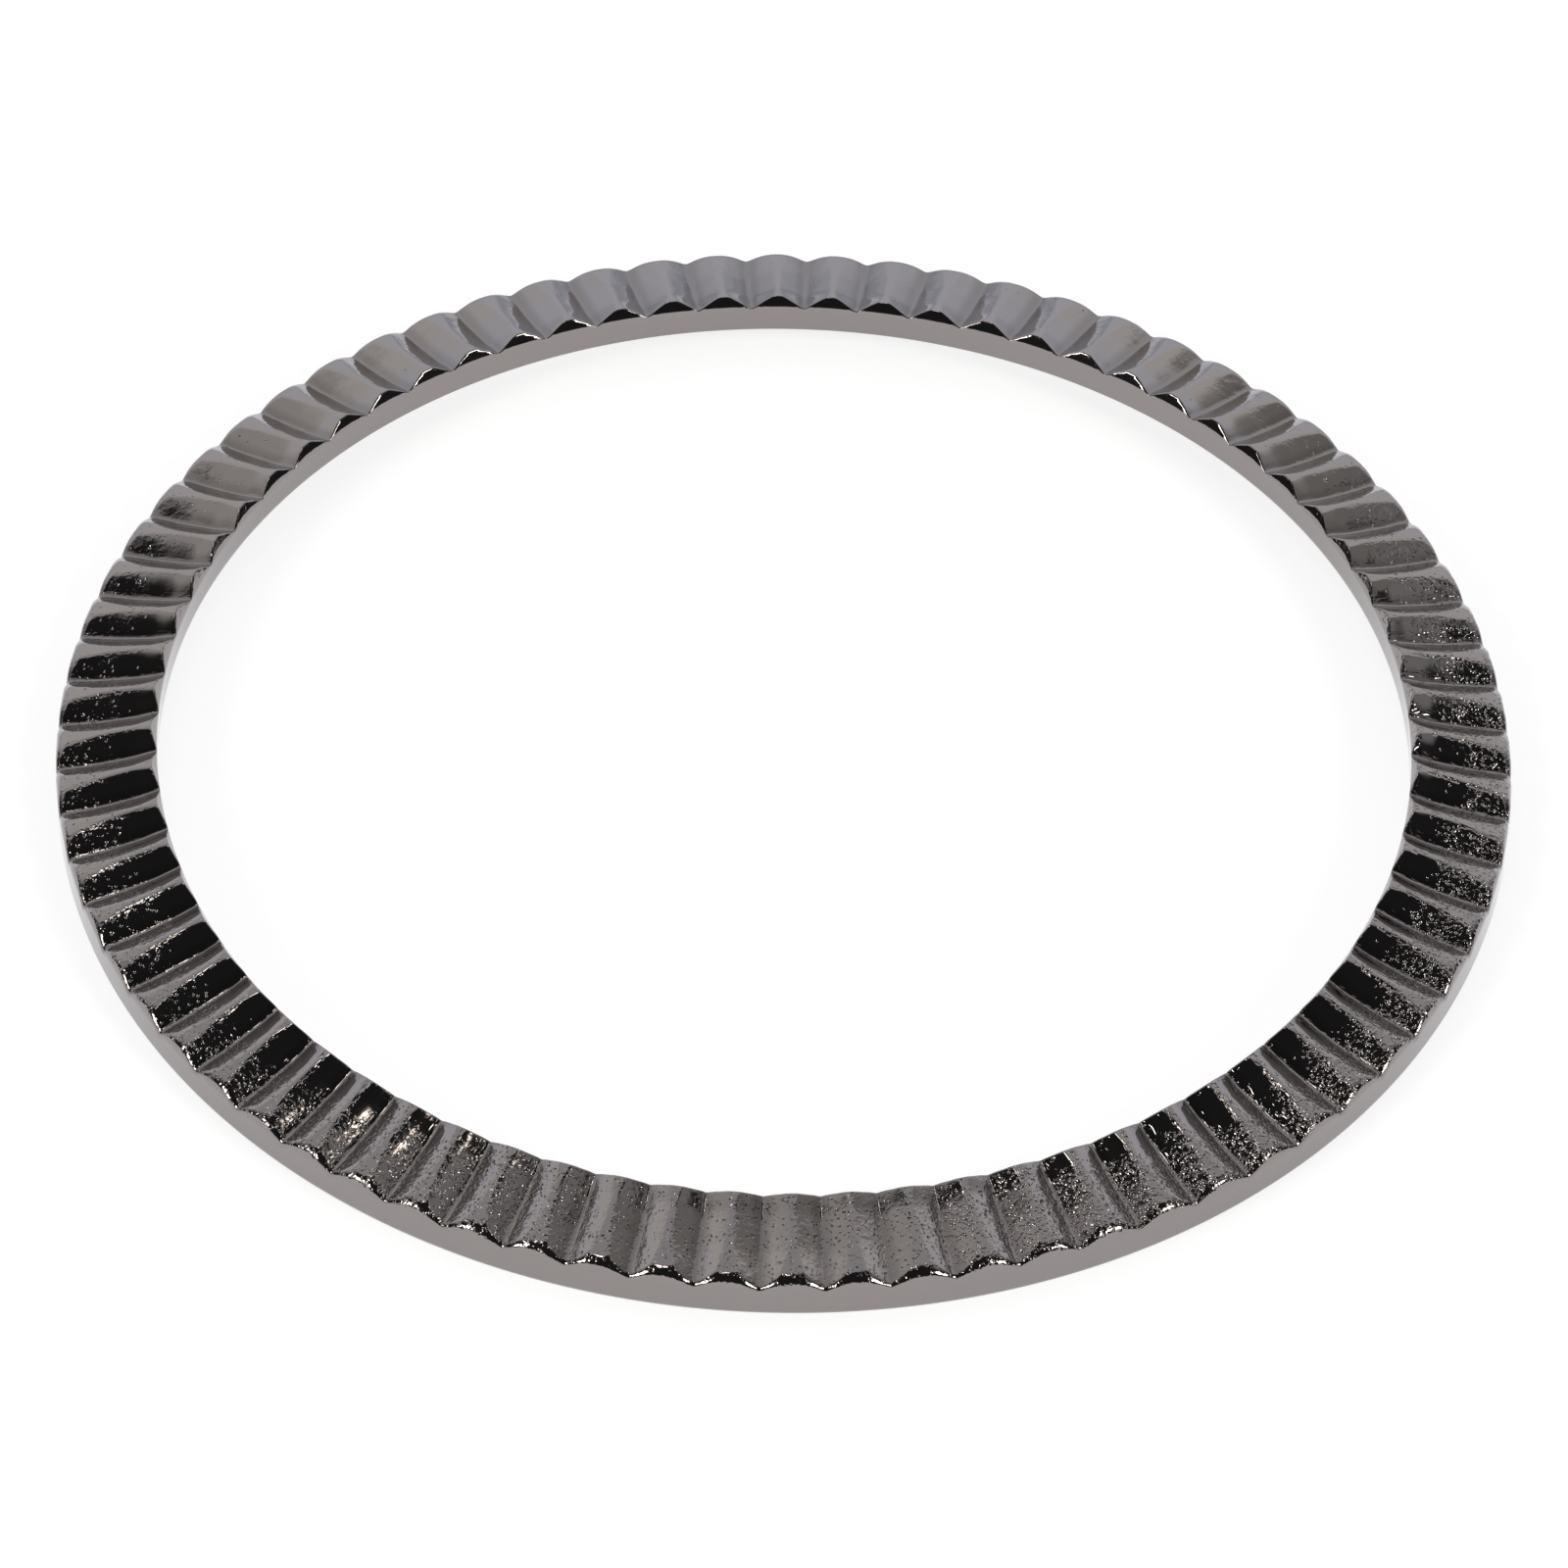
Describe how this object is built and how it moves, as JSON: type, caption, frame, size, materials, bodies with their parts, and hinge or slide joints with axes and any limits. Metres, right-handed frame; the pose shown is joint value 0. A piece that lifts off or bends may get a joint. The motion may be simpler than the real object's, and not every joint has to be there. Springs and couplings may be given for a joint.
{
  "type": "fluted watch bezel ring",
  "caption": "Fixed fluted bezel ring for a round watch case: sloping radial flutes, plain skirt, crystal bore and a press seat underneath.",
  "frame": {"origin": "centre of the underside, on the axis of the crystal bore", "axes": "+Z along the bore axis, out of the watch, towards the fluted face"},
  "size_m": [0.0344, 0.0344, 0.0016],
  "materials": {
    "gunmetal_plating": "polished"
  },
  "bodies": {
    "root": {"bezel_ring": "gunmetal_plating"}
  },
  "joints": []
}
